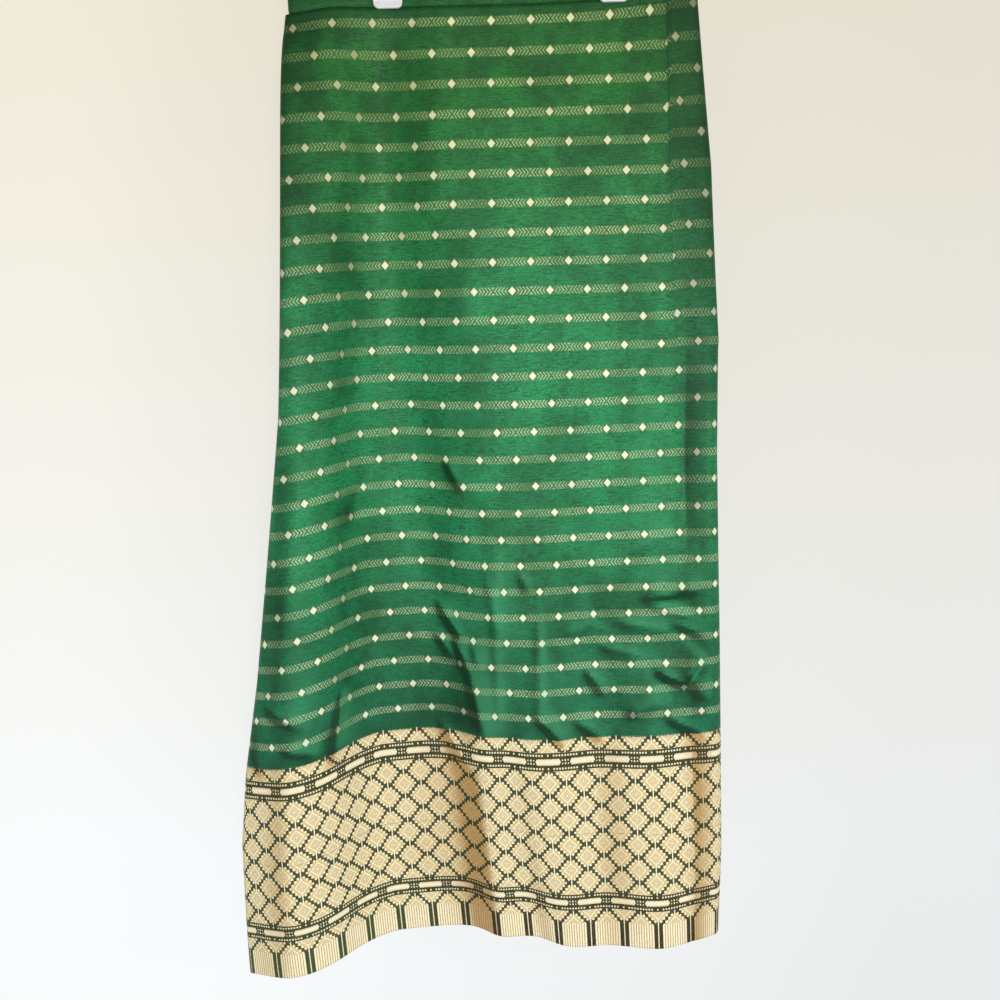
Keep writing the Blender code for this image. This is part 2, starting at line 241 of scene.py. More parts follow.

# %% [markdown]
# The small creases are folds left by storing the skirt: crisp on one side and soft on the other, and
# wider at one end. Each row below is one crease, placed on the cloth by column and fall. The hidden
# back gets fewer of the same kind.

# %% The creases
# Columns: column and fall of the narrow end, column and fall of the wide end, height towards the viewer,
# width to the right of the line and width to its left, all but the columns in millimetres
FRONT_CREASES = (
    (-1.56, 415, -1.06, 447, 2.8, 5, 14),
    (-2.1, 568, -1.42, 603, 5.2, 5, 16),
    (-2.25, 600, -1.75, 626, 3, 4, 10),
    (-1.62, 606, -1.22, 640, 5, 5, 18),
    (-1.26, 636, -0.9, 706, 4.4, 6, 20),
    (-1, 608, -0.93, 630, 2.2, 4, 10),
    (0.43, 531, 0.68, 550, 2.2, 4, 7),
    (0.98, 572, 0.84, 685, 3, 12, 4),
    (-0.1, 500, -0.3, 560, 1.2, 10, 5),
    (-0.32, 560, -0.4, 690, 1.6, 4, 12),
    (0.7, 682, 1.46, 714, 5, 4, 16),
    (3.88, 565, 5.6, 553, 7.4, 4, 18),
    (3.9, 567, 5.35, 585, 3, 12, 5),
    (3, 585, 4.5, 596, 3, 12, 5),
    (2.55, 610, 3.7, 622, 2.6, 12, 5),
    (4.18, 640, 5.04, 655, 7, 4, 16),
    (5.04, 655, 5.66, 628, 7.4, 4, 20),
    (5.04, 655, 5.95, 652, 3.6, 14, 4),
    (5.3, 668, 6.25, 672, 5.4, 4, 16),
    (2.2, 636, 2.66, 662, 4.2, 4, 14),
    (3.3, 690, 4.4, 672, 5, 5, 18),
    (-5.25, 645, -5.72, 712, 4.8, 4, 14),
    (-3.6, 420, -4.6, 470, 1.8, 8, 14),
    (-3.9, 610, -5, 640, 2, 8, 14),
    (-7.8, 640, -6.6, 668, 3, 5, 14),
    (-8.6, 655, -8, 712, 5, 5, 20),
    (-7.2, 690, -6.3, 700, 3.4, 5, 14),
    (-0.55, 520, -0.2, 600, 1.6, 6, 16),
    (1.6, 600, 2.5, 588, 2.6, 5, 14),
    (1.8, 690, 2.6, 712, 3.4, 5, 16),
    (3.6, 520, 4.6, 498, 2.4, 5, 14),
    (4.6, 590, 5.9, 606, 3.4, 5, 14),
    (4.4, 690, 5.6, 712, 4.6, 5, 18),
    (-2.3, 700, -1.52, 752, 3.6, 5, 16),
)
BACK_CREASES = (
    (-3.2, 420, -1.9, 460, 3, 5, 14),
    (-2.1, 600, -1.2, 650, 4.6, 5, 16),
    (2.4, 550, 3.6, 570, 4, 5, 14),
    (3.9, 660, 4.6, 630, 4.6, 5, 16),
    (0.6, 300, 0.4, 410, 2.4, 6, 12),
)
# Soft upright folds too slight for the solids. Columns: column at the waist and at the hem, fall where it
# starts, half width in pitches, depth away from the viewer in metres
SOFT_FOLDS = (
    (5.05, 4.85, 0.20, 0.75, 0.0042),
    (-2.53, -0.82, 0.55, 0.80, -0.0090),
    (-1.30, 0.90, 0.56, 0.65, -0.0040),
    (-0.60, -0.95, 0.45, 0.50, -0.0030),
    (2.60, 2.30, 0.50, 0.60, 0.0025),
    (-5.60, -7.60, 0.30, 0.45, -0.0020),
)
CREST = 0.0012
CREASE_UNITS = (1.0, 0.001, 1.0, 0.001, 0.001, 0.001, 0.001)


def crease_height(column, fall, creases):
    """How far the creases raise the cloth from its smooth form."""
    height = np.zeros_like(column)
    for column_0, fall_0, column_1, fall_1, rise, right, left in np.multiply(creases, CREASE_UNITS):
        run_x = (column_1 - column_0) * PITCH
        run_y = fall_1 - fall_0
        length = math.hypot(run_x, run_y)
        away_x = (column - column_0) * PITCH
        away_y = fall - fall_0
        along = (away_x * run_x + away_y * run_y) / length**2
        across = (away_y * run_x - away_x * run_y) / length
        spread = 0.4 + 0.6 * unit(along)
        width = np.where(across > 0.0, right, left) * spread
        round_top = np.sqrt(across**2 + CREST**2) - CREST
        ends = unit((along + 0.10) / 0.45) * unit((1.25 - along) / 0.45)
        height += rise * eased(ends) * np.exp(-round_top / width)
    return height


def soft_folds(column, fall):
    depth = np.zeros_like(column)
    for top, foot, start, half, size in SOFT_FOLDS:
        centre = top + (foot - top) * fall / HEM_FALL
        depth += size * eased((fall - start) / 0.25) * bell((column - centre) / half)
    return depth


def ripple(column, fall, seed):
    """The slight unevenness of cloth that has hung for a while."""
    height = 0.0
    for reach, size in ((0.095, 0.0016), (0.034, 0.0005)):
        place = Vector((column * PITCH / reach, fall / reach / 1.8, seed))
        height += size * noise.noise(place)
    return height


ripples = np.vectorize(ripple)
probe = crease_height(np.array([-1.2]), np.array([0.65]), FRONT_CREASES)
print("highest crease rises", round(float(probe[0]) * 1000.0, 2), "mm at one probe")

# %% [markdown]
# One line of the tube runs from the left side seam round the flattened edge, across the front or the
# back, and round the right edge. The ends are quarter ellipses, because a tube skirt has no hard edge.

# %% Lines round the tube
ARC = np.radians(np.linspace(0.0, 78.0, 7))


def half_gap(x, fall):
    wide = HALF_GAP_WAIST + (HALF_GAP_HEM - HALF_GAP_WAIST) * fall / HEM_FALL
    near_clip = np.exp(-(((abs(x) - CLIP_X) / PINCH_WIDTH) ** 4))
    pinch = near_clip * math.exp(-((fall / PINCH_FADE) ** 2))
    return wide - (wide - HALF_GAP_PINCH) * pinch, wide


def quarter_length(width, depth):
    return math.pi / 4.0 * math.sqrt(2.0 * (width**2 + depth**2))


def tube_line(fall, side, count, inset=0.0):
    """One line's points, the cloth columns before and after each, its relief and its way from an edge.

    side is -1 for the front and 1 for the back. The columns differ only where the dart is sewn.
    """
    left_seam = np.interp(fall, *zip(*LEFT_SEAM)) + inset / PITCH
    right_seam = np.interp(fall, *zip(*RIGHT_SEAM)) - inset / PITCH
    wide = half_gap(0.0, fall)[1]
    round_left, round_right = min(ROUND_LEFT, wide), min(ROUND_RIGHT, wide)
    arc_left = quarter_length(round_left, wide) / PITCH
    arc_right = quarter_length(round_right, wide) / PITCH
    left_in, right_in = left_seam + arc_left, right_seam - arc_right
    intake = dart_intake(fall)
    groove = DART_HALF / PITCH
    dart_left, dart_right = DART_COLUMN - intake / 2.0, DART_COLUMN + intake / 2.0
    near_dart = np.linspace(dart_right + groove, right_in, count // 6)
    column = np.concatenate([
        np.linspace(left_in, dart_left - groove, count), [dart_left + 0.5 * intake], near_dart,
    ])
    notch = count
    x, y, z = drape_at(column, fall)
    if intake > 0.0:
        seam = drape_at(np.array([dart_left]), fall)
        x[notch], y[notch], z[notch] = (v[0] for v in seam)
        z[notch] += 0.5 * float(z[notch + 1] - z[notch])
    half, wide_at = half_gap(x, fall)
    middle = y + wide_at
    line = middle + side * half
    creases = FRONT_CREASES if side < 0 else BACK_CREASES
    fade = unit(fall / 0.06)
    relief = crease_height(column, np.full_like(column, fall), creases)
    relief += fade * ripples(column, fall, 3.0 + side)
    if side < 0:
        relief -= soft_folds(column, fall)
    inner = np.minimum(column - left_in, right_in - column)
    away = unit(inner / 0.6)
    line += side * relief * away
    if side < 0:
        line[notch] += DART_GROOVE * max(0.0, 1.0 - fall / DART_LENGTH)
    else:
        bulge = sum(size * bell((column - at) / width) for at, width, size in BACK_FOLDS)
        line += bulge * fall / HEM_FALL * unit(inner)
    before, after = column.copy(), column.copy()
    before[notch], after[notch] = dart_left, dart_right
    points = np.stack([x, line, z], axis=1)
    arcs = []
    for end, way, width in ((0, -1.0, round_left), (-1, 1.0, round_right)):
        slope = SAG_PER_PITCH / PITCH if way < 0 else 0.0
        out = width * np.cos(ARC)
        arc = np.stack([
            x[end] + way * out, middle[end] + side * half[end] * np.sin(ARC), z[end] - slope * out,
        ], axis=1)
        arcs.append(arc if way < 0 else arc[::-1])
    turn = ARC / (math.pi / 2.0)
    left_columns = left_seam + arc_left * turn
    right_columns = (right_seam - arc_right * turn)[::-1]
    points = np.concatenate([arcs[0], points, arcs[1]])
    before = np.concatenate([left_columns, before, right_columns])
    after = np.concatenate([left_columns, after, right_columns])
    raised = np.pad(relief * away, len(ARC))
    from_edge = np.minimum(before - left_seam, right_seam - before)
    return points, before, after, raised, from_edge


example = tube_line(0.4, -1, 24)[0]
print("line at fall 0.4 m:", len(example), "points,", round(float(np.ptp(example[:, 0])), 3), "m wide")

# %% [markdown]
# A sheet is a grid through such lines, and every piece made here ends as an object in the scene.

# %% Grids and finished pieces
def grid_mesh(rows):
    """A bmesh grid through rows of points, the first row on top, its vertices numbered row by row."""
    down, across = len(rows), len(rows[0])
    work = bmesh.new()
    bmesh.ops.create_grid(work, x_segments=across - 1, y_segments=down - 1, size=1.0)
    for vert in work.verts:
        i = round((vert.co.x + 1.0) / 2.0 * (across - 1))
        j = round((1.0 - vert.co.y) / 2.0 * (down - 1))
        vert.co = rows[j][i]
        vert.index = j * across + i
    return work


def finished_piece(work, name, materials, smooth=True):
    """The object made of a bmesh, which is freed."""
    mesh = bpy.data.meshes.new(name)
    work.to_mesh(mesh)
    work.free()
    if smooth:
        mesh.shade_smooth()
    for finish in materials:
        mesh.materials.append(finish)
    made = bpy.data.objects.new(name, mesh)
    scene.collection.objects.link(made)
    return made


example_grid = grid_mesh(np.zeros((3, 4, 3)))
print("a grid through 3 rows of 4 points has", len(example_grid.faces), "faces")
example_grid.free()

# %% [markdown]
# Each corner of each face carries its own place on the flat cloth in the map "cloth", in pitches across
# and down, so the woven pattern bends with the cloth and jumps at the dart exactly as cut cloth does.
# Each point also carries an amount of painted shade in a float attribute. It is larger where a crease turns
# the cloth left or down, away from the light, and near the side edges. Below zero it is a painted
# highlight, where a crease turns the cloth towards the light.

# %% Building a sheet
# Painted shade: weights of a crease's turn to the left and down, and the painted shade along the side
# edges: its strength, its reach in pitches and the fall in metres over which it fades
SHADE_LEFTWARD, SHADE_DOWNWARD = 1.0, 0.8
EDGE_SHADE, EDGE_SHADE_REACH, EDGE_SHADE_FALL = 0.30, 1.3, 0.50


def shade_to_paint(lines, falls):
    """Painted shade at each point: how far the creases turn the cloth left and down, away from the light,
    and more near the side edges towards the waist.
    """
    raised = np.array([line[3] for line in lines])
    x = np.array([line[0][:, 0] for line in lines])
    steps = np.maximum(abs(np.gradient(x, axis=1)), 5e-4)
    leftward = np.gradient(raised, axis=1) / steps
    downward = -np.gradient(raised, falls, axis=0)
    turned = SHADE_LEFTWARD * leftward + SHADE_DOWNWARD * downward
    from_edge = np.array([line[4] for line in lines])
    fade = unit(1.0 - falls / EDGE_SHADE_FALL)[:, None]
    return turned + EDGE_SHADE * np.exp(-from_edge / EDGE_SHADE_REACH) * (0.1 + 0.9 * fade)


def sheet_piece(name, falls, side, count, shift, materials):
    """A front or back sheet over these falls, with its flat place in the map "cloth"."""
    lines = [tube_line(fall, side, count) for fall in falls]
    painted_shades = shade_to_paint(lines, falls)
    rows = [line[0] for line in lines]
    if side > 0:
        rows = [row[::-1] for row in rows]
    work = grid_mesh(rows)
    across = len(rows[0])
    flat = work.loops.layers.uv.new("cloth")
    tilt = work.verts.layers.float.new("tilt")
    for vert in work.verts:
        j, i = divmod(vert.index, across)
        vert[tilt] = painted_shades[j][i if side < 0 else across - 1 - i]
    for face in work.faces:
        least = min(vert.index % across for vert in face.verts)
        for loop in face.loops:
            j, i = divmod(loop.vert.index, across)
            place = i if side < 0 else across - 1 - i
            starts_here = (i == least) == (side < 0)
            column = lines[j][2 if starts_here else 1][place]
            loop[flat].uv = (shift + column * -side, falls[j] / PITCH)
    made = finished_piece(work, name, materials)
    wall = made.modifiers.new("thickness", "SOLIDIFY")
    wall.thickness = CLOTH
    wall.offset = 0.0
    wall.material_offset = 1
    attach(made, "root")
    return made


probe_falls = np.linspace(0.60, 0.62, 3)
probe = shade_to_paint([tube_line(fall, -1, 126) for fall in probe_falls], probe_falls)
print("0.6 m down, the creases turn the cloth by", np.round([probe.min(), probe.max()], 2))

# %% [markdown]
# A pattern is worked out from the flat place of each point, as a weaver reads a chart. Sums on that place
# become masks that are 1 on a thread colour and 0 beside it. The small class below lets the sums be
# written as sums, each of them one node.

# %% Sums as nodes
class Field:
    """A number that a node tree works out at each point."""

    tree = None

    def __init__(self, socket):
        self.socket = socket

    def __add__(self, other):
        return sum_node("ADD", self, other)

    __radd__ = __add__

    def __sub__(self, other):
        return sum_node("SUBTRACT", self, other)

    def __rsub__(self, other):
        return sum_node("SUBTRACT", other, self)

    def __mul__(self, other):
        return sum_node("MULTIPLY", self, other)

    __rmul__ = __mul__

    def __truediv__(self, other):
        return sum_node("DIVIDE", self, other)

    def __abs__(self):
        return sum_node("ABSOLUTE", self)


def connect(value, slot):
    if isinstance(value, Field):
        Field.tree.links.new(value.socket, slot)
    else:
        slot.default_value = value


def new_node(kind, **inputs):
    """A shader node in the current tree, with these inputs set or linked."""
    node = Field.tree.nodes.new("ShaderNode" + kind)
    for label, value in inputs.items():
        connect(value, node.inputs[label])
    return node


def sum_node(operation, *values, clamp=False):
    node = new_node("Math")
    node.operation = operation
    node.use_clamp = clamp
    for value, slot in zip(values, node.inputs):
        connect(value, slot)
    return Field(node.outputs[0])


print("a Field can be added, taken away, multiplied and divided")

# %% [markdown]
# A mask comes from comparing such a number with an edge. Its change is a little soft, because a thread's
# edge is, and because a hard one would flicker. Colours are mixed by masks, one over another.

# %% Masks and colours
THREAD_EDGE = 0.012


def wrapped(value):
    """The distance from the nearest whole number, from -0.5 to 0.5."""
    return sum_node("WRAP", value, 0.5, -0.5)


def below(value, edge, soft=THREAD_EDGE):
    """1 where value is under edge, 0 over it, with a soft change."""
    return sum_node("MULTIPLY_ADD", edge - value, 1.0 / soft, 0.5, clamp=True)


def over(value, edge, soft=THREAD_EDGE):
    """1 where value is over edge, 0 under it, with a soft change."""
    return sum_node("MULTIPLY_ADD", value - edge, 1.0 / soft, 0.5, clamp=True)


def ramp(value, start, end):
    """0 before start, 1 past end and an even rise between them. It falls where end is the smaller."""
    slope = 1.0 / (end - start)
    return sum_node("MULTIPLY_ADD", value, slope, -start * slope, clamp=True)


def larger(first, second):
    return sum_node("MAXIMUM", first, second)


def switch(mask, if_on, if_off):
    """if_on where the mask is 1 and if_off where it is 0."""
    return if_off + mask * (if_on - if_off)


def linear(text):
    """A colour written as six hexadecimal digits, as linear red, green and blue."""
    parts = [int(text[i:i + 2], 16) / 255.0 for i in (1, 3, 5)]
    return tuple(p / 12.92 if p <= 0.04045 else ((p + 0.055) / 1.055) ** 2.4 for p in parts) + (1.0,)


def mixed(mask, on, off):
    """The colour `on` where the mask is 1 and `off` where it is 0."""
    node = new_node("Mix")
    node.data_type = "RGBA"
    connect(mask, node.inputs[0])
    connect(off, node.inputs[6])
    connect(on, node.inputs[7])
    return Field(node.outputs[2])


print("middle grey is", round(linear("#808080")[0], 3), "in linear light")

# %% [markdown]
# The weave and each part of the pattern are node groups, so that every cloth uses the same ones. A group
# is filled in by name here: reading weave["Down"] gives an input, and setting weave["Slub"] an output.

# %% Noise and node groups
def cloud(across, down, times, shift=(0.0, 0.0), roughness=0.5):
    """A noise from about 0.2 to 0.8. `times` gives its scale across and down, and its detail."""
    flat = Field(new_node("CombineXYZ", X=across, Y=down).outputs[0])
    place = new_node("Mapping", Vector=flat, Scale=(times[0], times[1], 1.0), Location=shift + (0.0,))
    node = new_node("TexNoise", Scale=1.0, Detail=times[2], Roughness=roughness)
    node.noise_dimensions = "2D"
    connect(Field(place.outputs[0]), node.inputs["Vector"])
    return Field(node.outputs[0])


class Group:
    """A node group under construction: its inputs are read by name and its results are set by name."""

    def __init__(self, name, inputs, outputs):
        self.tree = bpy.data.node_groups.new(name, "ShaderNodeTree")
        for in_out, labels in (("INPUT", inputs), ("OUTPUT", outputs)):
            for label in labels:
                self.tree.interface.new_socket(label, in_out=in_out, socket_type="NodeSocketFloat")
        self.entry = self.tree.nodes.new("NodeGroupInput")
        self.exit = self.tree.nodes.new("NodeGroupOutput")
        Field.tree = self.tree

    def __getitem__(self, label):
        return Field(self.entry.outputs[label])

    def __setitem__(self, label, value):
        connect(value, self.exit.inputs[label])


def use_group(group, **inputs):
    """The group placed in the current tree, as a function from an output's name to its value."""
    node = new_node("Group")
    node.node_tree = group.tree
    for label, value in inputs.items():
        connect(value, node.inputs[label])
    return lambda label: Field(node.outputs[label])


print("node groups so far:", len(bpy.data.node_groups))

# %% [markdown]
# Hand-spun weft has slubs: short thick places that lie dark along the weft. The warp shows as faint
# upright streaks, and the dye lies a little uneven. Noises stretched along the threads give this.

# %% The weave
# Each noise's scale in one pitch across and down, and its detail
LONG_SLUBS = (3.1, 26.0, 3.0)
SHORT_SLUBS = (10.0, 38.0, 2.0)
SLUB_CROWDS = (0.9, 1.3, 2.0)
WARP_THREADS = (44.0, 9.0, 1.0)
WEFT_THREADS = (9.0, 60.0, 1.0)
UNEVEN_DYE = (0.62, 0.48, 4.0)
DARK_PATCHES = (1.5, 1.2, 3.0)

weave = Group("weave", ("Across", "Down"), ("Slub", "Grain", "Dye", "Patch"))
across, down = weave["Across"], weave["Down"]
long_slubs = over(cloud(across, down, LONG_SLUBS), 0.60, 0.10)
short_slubs = over(cloud(across, down, SHORT_SLUBS, (0.0, 7.3)), 0.61, 0.10)
crowds = cloud(across, down, SLUB_CROWDS, (4.0, 0.0))
weave["Slub"] = larger(long_slubs, short_slubs) * (0.35 + 0.9 * crowds)
weave["Grain"] = (cloud(across, down, WARP_THREADS) + cloud(across, down, WEFT_THREADS)) * 0.5
weave["Dye"] = cloud(across, down, UNEVEN_DYE, roughness=0.6)
weave["Patch"] = cloud(across, down, DARK_PATCHES, (2.0, 0.0), roughness=0.55)
print("weave group", len(weave.tree.nodes), "nodes")

# %% [markdown]
# The body's pattern is a row of diamonds every 26.9 mm down the cloth, shifted half a repeat from row to
# row. Between two diamonds, four chevrons point from each towards a small cross in the middle. The
# diamonds are floats of thick cream thread, so they stand a little proud.

# %% The body's rows of diamonds
# Measures in repeats of the pattern
DIAMOND_WIDE, DIAMOND_HIGH = 0.104, 0.114
RIM_OUT = 1.32
ROW_HALF = 0.108
CHEVRONS, CHEVRON_SLANT = 11.0, 0.77
DASHES = 27.0
STROKE_HALF = 0.17

body_rows = Group("body_rows", ("Across", "Down"), ("Diamond", "Rim", "Stroke", "Band"))
across, down = body_rows["Across"], body_rows["Down"]
row = down * (PITCH / ROW_PITCH)
index = sum_node("FLOOR", row)
odd = sum_node("FLOORED_MODULO", index, 2.0)
from_column = abs(wrapped(across + odd * 0.5))
from_row = abs(row - index - 0.5) * (ROW_PITCH / PITCH)
reach = from_column / DIAMOND_WIDE + from_row / DIAMOND_HIGH
body_rows["Diamond"] = below(reach, 1.0, 0.14)
body_rows["Rim"] = below(reach, RIM_OUT, 0.2)
in_band = below(from_row, ROW_HALF, 0.02)
line = abs(wrapped((from_column + from_row * CHEVRON_SLANT) * CHEVRONS))
dashes = abs(wrapped(from_row * DASHES + 0.25))
stroke = below(line, STROKE_HALF, 0.14) * (1.0 - 0.75 * below(dashes, STROKE_HALF, 0.2))
body_rows["Stroke"] = stroke * in_band * over(from_column, 0.125, 0.02)
body_rows["Band"] = in_band
print("rows group", len(body_rows.tree.nodes), "nodes")

# %% [markdown]
# The border is one chart of twelve columns to a repeat. Its field is a lattice of diamonds: a chain of
# dark squares runs along each edge, with cream floats above and below each square, a star where chains
# meet, and a finely patterned centre. The measures are fractions of a repeat.

# %% The border's lattice
COLUMNS = 12.0
STEP = 1.0 / COLUMNS
LATTICE_HIGH = 0.79
CHAIN_STEP = 0.0988
SQUARE_WIDE, SQUARE_HIGH = 0.0495, 0.066
ARM_WIDE, ARM_HIGH, ARM_FLARE = 0.068, 0.064, 0.75
CENTRE_WIDE, CENTRE_HIGH = 0.205, 0.222

lattice = Group("lattice", ("Across", "Down"), ("Dark", "Cream", "Inner", "Brown"))
across, down = lattice["Across"], lattice["Down"]
slant = down / LATTICE_HIGH
first, second = wrapped(across + slant), wrapped(across - slant)
beside = abs(first + second) * 0.5
above = abs(first - second) * (0.5 * LATTICE_HIGH)
tick = sum_node("ROUND", beside * COLUMNS)
off_tick = abs(beside - tick * STEP)
off_chain = abs(above - (5.0 - tick) * CHAIN_STEP)
at_node = over(abs(tick - 3.0), 2.5, 0.1)
square = below(off_chain, SQUARE_HIGH, 0.010) * below(off_tick, SQUARE_WIDE, 0.008) * (1.0 - at_node)
star = 0.0
for from_node, from_level in ((beside, abs(above - LATTICE_HIGH / 2.0)), (0.5 - beside, above)):
    off_arm = abs(from_node - STEP)
    star = larger(star, below(off_arm, ARM_WIDE) * below(from_level, ARM_HIGH + ARM_FLARE * off_arm))
tooth_wide = 0.034 - 0.10 * (off_chain - 0.04)
tooth = below(off_tick, tooth_wide, 0.014) * below(off_chain, 0.140, 0.03) * (1.0 - at_node)
upright = below(off_tick, 0.017, 0.010) * at_node * over(beside * 1.1 + above, 0.225, 0.02)
ring = beside / CENTRE_WIDE + above / CENTRE_HIGH
outline = below(abs(ring - 1.0), 0.085, 0.06)
core = below(ring, 0.17, 0.1)
lattice["Dark"] = larger(square, star) * (1.0 - upright)
lattice["Cream"] = larger(larger(tooth, upright), larger(outline, core))
lattice["Inner"] = below(ring, 0.95, 0.06)
nested = below(abs(wrapped(ring * 3.1 - 0.12)), 0.15, 0.14)
hatch = larger(nested, 0.5 * below(abs(wrapped(first * 15.0)), 0.16, 0.16)) * below(ring, 0.85, 0.06)
outer_line = below(abs(ring - 1.22), 0.05, 0.06)
between = over(off_tick, 0.033, 0.01) * below(off_chain, 0.15, 0.03)
lattice["Brown"] = larger(larger(hatch, outer_line), 0.7 * between)
print("lattice group", len(lattice.tree.nodes), "nodes")

# %% [markdown]
# Two narrow bands frame the lattice. Each has a row of long bars, a row of dots on either side, and dark
# lines between them. Across is the same repeat, and Off is the distance from the band's middle.

# %% The border's narrow bands
BAND_EDGE = 0.295
DOT_LEVEL, DOT_WIDE, DOT_HIGH = 0.205, 0.023, 0.028
BAR_WIDE, BAR_HIGH = 0.365, 0.092
PILLAR_WIDE, PILLAR_LEVEL, PILLAR_HIGH = 0.018, 0.05, 0.032
BEADS = 6.6

bars = Group("bars", ("Across", "Off"), ("Dark", "Cream", "Brown"))
beside = abs(wrapped(bars["Across"]))
off = abs(bars["Off"])
tick = abs(wrapped(bars["Across"] * COLUMNS)) * STEP
dots = below(tick, DOT_WIDE) * below(abs(off - DOT_LEVEL), DOT_HIGH)
block = below(abs(beside - STEP * 0.95), 0.058, 0.01)
beads = abs(wrapped(bars["Across"] * COLUMNS + bars["Off"] * BEADS)) + abs(wrapped(off * BEADS))
bar = below(beside + off * 0.4, BAR_WIDE) * below(off - 0.012 * below(beads, 0.5, 0.1), BAR_HIGH)
from_cross = 0.5 - beside
from_pillar = abs(off - PILLAR_LEVEL)
pillar = below(from_cross, PILLAR_WIDE, 0.01) * below(from_pillar, PILLAR_HIGH)
side_dots = below(abs(from_cross - STEP), PILLAR_WIDE, 0.01) * below(from_pillar, 0.020)
eye = below(larger(beside, off), 0.03)
cream = larger(dots * (1.0 - block), larger(bar, larger(pillar, side_dots)))
bars["Cream"] = cream
bars["Dark"] = (1.0 - cream) * below(off, BAND_EDGE)
bars["Brown"] = bar * (1.0 - eye) * (0.45 * over(beads, 0.42, 0.25))
print("bars group", len(bars.tree.nodes), "nodes")

# %% [markdown]
# Below the last band the lattice starts again and its chains make pointed roofs. Under each roof stands a
# house of upright stripes that run on to the hem, with a dark pair of lines between two houses.

# %% The border's stripes at the hem
HOUSE_HALF = 0.365
DARK_LINE, DARK_LINE_HALF = 0.430, 0.060
HOUSE_STRIPES = 13.3

stripes = Group("stripes", ("Across",), ("Dark", "Cream", "Brown"))
from_house = abs(wrapped(stripes["Across"] + 0.5))
edge_line = over(from_house, 0.486, 0.010)
edge_dark = below(abs(from_house - DARK_LINE), DARK_LINE_HALF)
fine = below(abs(wrapped(from_house * HOUSE_STRIPES)), 0.17, 0.16) * below(from_house, 0.35, 0.01)
stripes["Cream"] = larger(edge_line, below(from_house, HOUSE_HALF, 0.01) - fine)
stripes["Dark"] = edge_dark * (1.0 - edge_line)
stripes["Brown"] = fine
print("stripes group", len(stripes.tree.nodes), "nodes")

# %% [markdown]
# A cloth material finds its flat place in the map "cloth" and asks a function for its colour and relief
# there. Silk reflects a little like metal, in its own colour, so its gloss is low and tinted. The relief
# is that of the threads alone, because the folds are in the mesh.

# %% Cloth as a material
CLOTH_GLOSS = 0.15
THREAD_RELIEF = 0.0004


def flat_place():
    """Across and down on the flat cloth, from the map "cloth"."""
    node = new_node("UVMap")
    node.uv_map = "cloth"
    split = new_node("SeparateXYZ", Vector=Field(node.outputs[0]))
    return Field(split.outputs["X"]), Field(split.outputs["Y"])


def new_material(name, values):
    """A material open for nodes, and its shader with these values set."""
    made = bpy.data.materials.new(name)
    made.use_nodes = True
    Field.tree = made.node_tree
    shader = made.node_tree.nodes["Principled BSDF"]
    for label, value in values.items():
        shader.inputs[label].default_value = value
    return made, shader


def cloth_material(name, colour_of, roughness, silk):
    """A cloth whose colour and relief come from colour_of(across, down)."""
    made, shader = new_material(name, {
        "Roughness": roughness, "Metallic": silk, "Specular IOR Level": CLOTH_GLOSS,
    })
    colour, relief = colour_of(*flat_place())
    connect(colour, shader.inputs["Base Color"])
    bump = new_node("Bump", Strength=0.5, Distance=THREAD_RELIEF, Height=relief)
    connect(Field(bump.outputs[0]), shader.inputs["Normal"])
    return made


def painted_turn_shade():
    """The painted shade that the piece carries on its points; below zero it is a painted highlight."""
    node = new_node("Attribute")
    node.attribute_name = "tilt"
    return Field(node.outputs["Fac"])


print("cloth relief", THREAD_RELIEF * 1000.0, "mm")

# %% [markdown]
# The green cloth is woven of two greens. It is bluer where it hangs flat, yellower near the waist, and
# darker at the waist and towards the hem, partly in its own colour and partly as painted shade. The
# pattern's threads cover the ground: olive under the chevrons, cream on the diamonds. The dart's line and
# the cloth right of it get painted shade. The floats are painted dimmer where the left fold turns them
# from the light, and the creases get painted shade and painted highlights.

# %% The body's cloth
# The ground greens: the darker waist and low greens are partly the cloth's colour and partly painted shade
GREEN_WAIST_DYE_AND_SHADE = linear("#2c7433")
GREEN_MIDDLE = linear("#2a8d57")
GREEN_LOW_DYE_AND_SHADE = linear("#1a6c4b")
# Painted shade and painted highlight for cloth that creases turn from and towards the light
GREEN_PAINTED_SHADE = linear("#062312")
GREEN_PAINTED_HIGHLIGHT = linear("#4fae7c")
# Dark green of the slubs, also used as painted shade under the waist seam and along the dart
GREEN_SLUB_AND_SHADE = linear("#12351c")
GREEN_PATCH = linear("#1d4420")
OLIVE = linear("#537840")
STROKE = linear("#cfd8b8")
STROKE_WAIST = linear("#b2bf80")
CREAM = linear("#eff0da")
CREAM_WAIST = linear("#efe6c4")
RIM = linear("#5d6a30")
# Where the greens change, in pitches down, and how strongly each shade covers the ground
TO_MIDDLE, TO_LOW = (1.786, 8.929), (11.923, 19.615)
SLUB_SHARE, GRAIN_SHARE, SEAM_SHADOW_SHARE = 0.60, 0.34, 0.55
DYE_SHARE, DYE_MORE_LOW = 0.46, 0.22
PATCH_SHARE, PATCH_LESS_LOW = 0.46, 0.24
OLIVE_SHARE, RIM_SHARE, DIAMOND_SHARE = 0.36, 0.65, 0.96
# How strongly the painted shade and the painted highlight cover the cloth, and the turn at which they are
# full
PAINTED_SHADE_SHARE, PAINTED_HIGHLIGHT_SHARE, FULL_SHADE_TILT = 0.74, 0.26, 0.3125
# Painted shade on the floats, on the left fold and on the one beside it: column at the waist, drift per
# pitch down, half width, softness
SHADED_FOLD = (-3.4, -0.108, 0.45, 0.5)
SHADED_BESIDE = (-2.1, -0.05, 0.35, 0.4)
STROKE_IN_SHADE, DIAMOND_IN_SHADE = 0.4, 0.55


